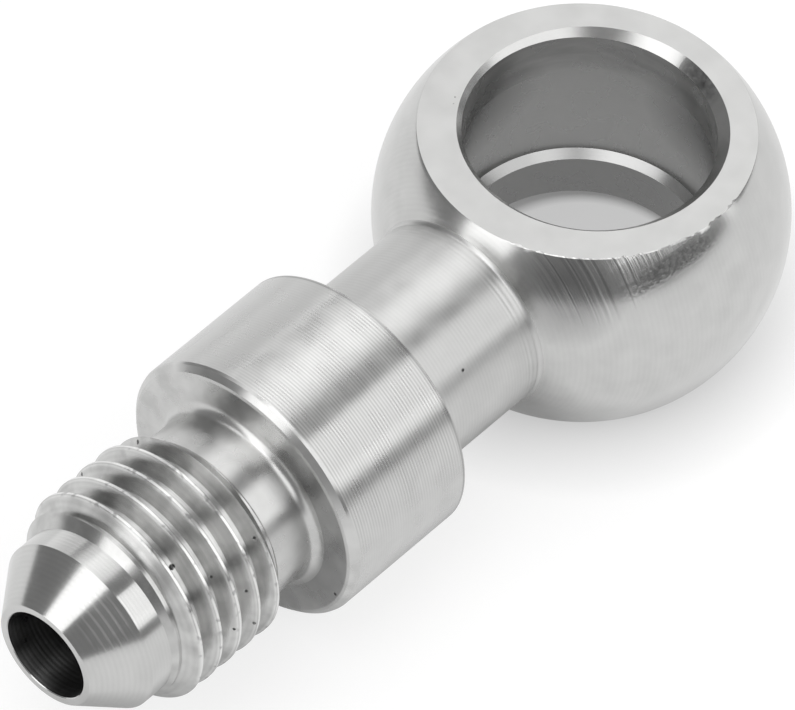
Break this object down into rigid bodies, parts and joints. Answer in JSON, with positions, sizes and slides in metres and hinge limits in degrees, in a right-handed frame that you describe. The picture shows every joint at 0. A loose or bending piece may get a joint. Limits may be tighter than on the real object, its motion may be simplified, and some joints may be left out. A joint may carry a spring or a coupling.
{
  "type": "banjo fitting",
  "caption": "Stainless banjo fitting: a bored ball eye for a hollow banjo bolt, with a neck, a round collar and a threaded 37 degree flare nose.",
  "frame": {"origin": "on the axis of the eye's bore, midway between the two sealing flats", "axes": "+Z along the eye's bore, +X along the stem from the eye towards the flare nose"},
  "size_m": [0.0467, 0.0198, 0.0138],
  "materials": {
    "stainless": "bright turned stainless steel with fine feed marks"
  },
  "bodies": {
    "root": {"fitting_body": "stainless"}
  },
  "joints": []
}
